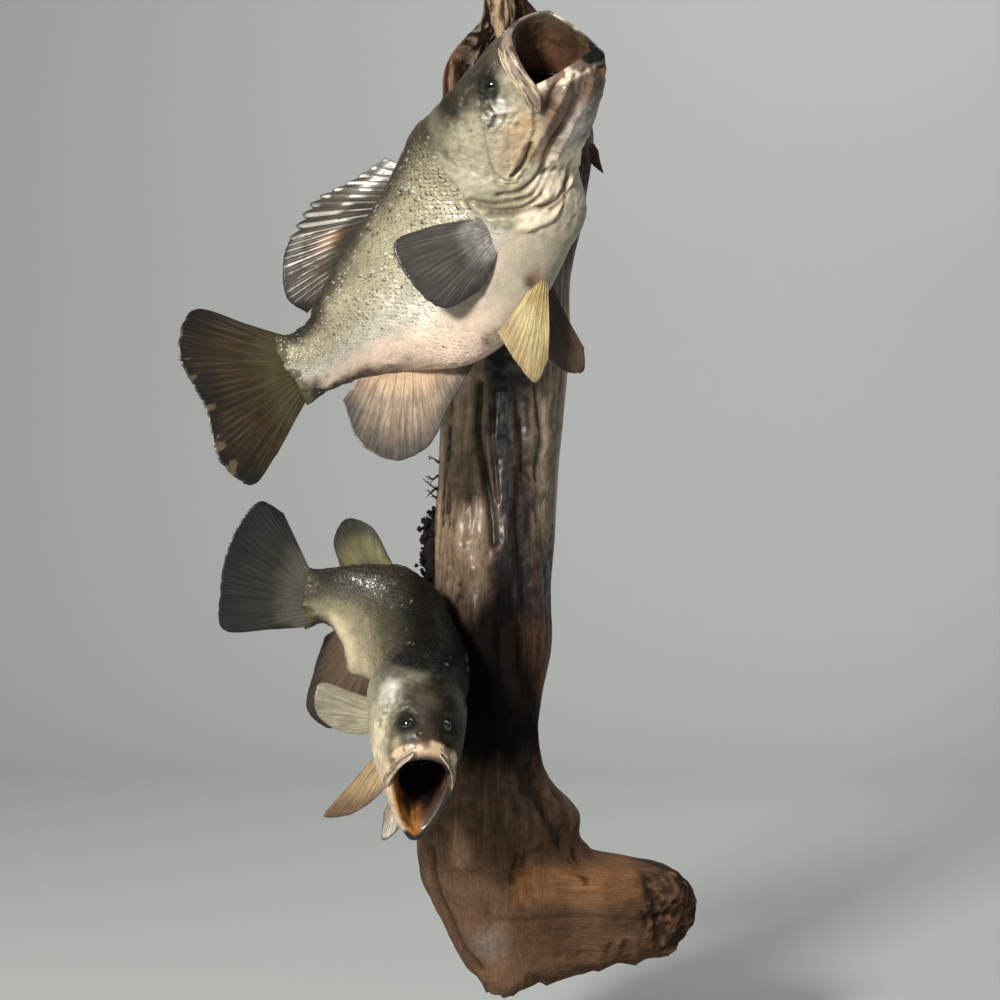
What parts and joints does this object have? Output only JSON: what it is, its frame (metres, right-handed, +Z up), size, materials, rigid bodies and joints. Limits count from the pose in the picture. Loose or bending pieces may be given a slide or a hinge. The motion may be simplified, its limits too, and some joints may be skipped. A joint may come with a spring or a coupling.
{
  "type": "mounted black bass on driftwood",
  "caption": "Wall-hung driftwood with a large black bass curving up, mouth open, and a smaller bass bent out from the trunk, mouth open towards the viewer",
  "frame": {"origin": "middle of the trunk's flat back, on the wall", "axes": "+Z up along the driftwood, +Y into the wall, -Y out to the viewer, the big fish's tail towards -X"},
  "size_m": [0.47, 0.2735, 1.01],
  "materials": {
    "fish_skin": "varnished fish skin, pale olive grey with a silvery sheen",
    "fin_membrane": "varnished dry fin, olive brown",
    "eye_glass": "dark glass taxidermy eye",
    "driftwood": "varnished dark driftwood, dull and worn at the foot",
    "dry_root": "dry black rootlets"
  },
  "bodies": {
    "root": {"bass_head": "fish_skin", "bass_torso": "fish_skin", "bass_tail_stalk": "fish_skin", "small_bass": "fish_skin", "bass_spiny_dorsal_fin": "fin_membrane", "bass_soft_dorsal_fin": "fin_membrane", "bass_anal_fin": "fin_membrane", "bass_tail_fin": "fin_membrane", "bass_pectoral_fin_right": "fin_membrane", "bass_pectoral_fin_left": "fin_membrane", "bass_pelvic_fin_right": "fin_membrane", "bass_pelvic_fin_left": "fin_membrane", "bass_eye_right": "eye_glass", "bass_eye_left": "eye_glass", "driftwood": "driftwood", "root_tuft": "dry_root"}
  },
  "joints": []
}
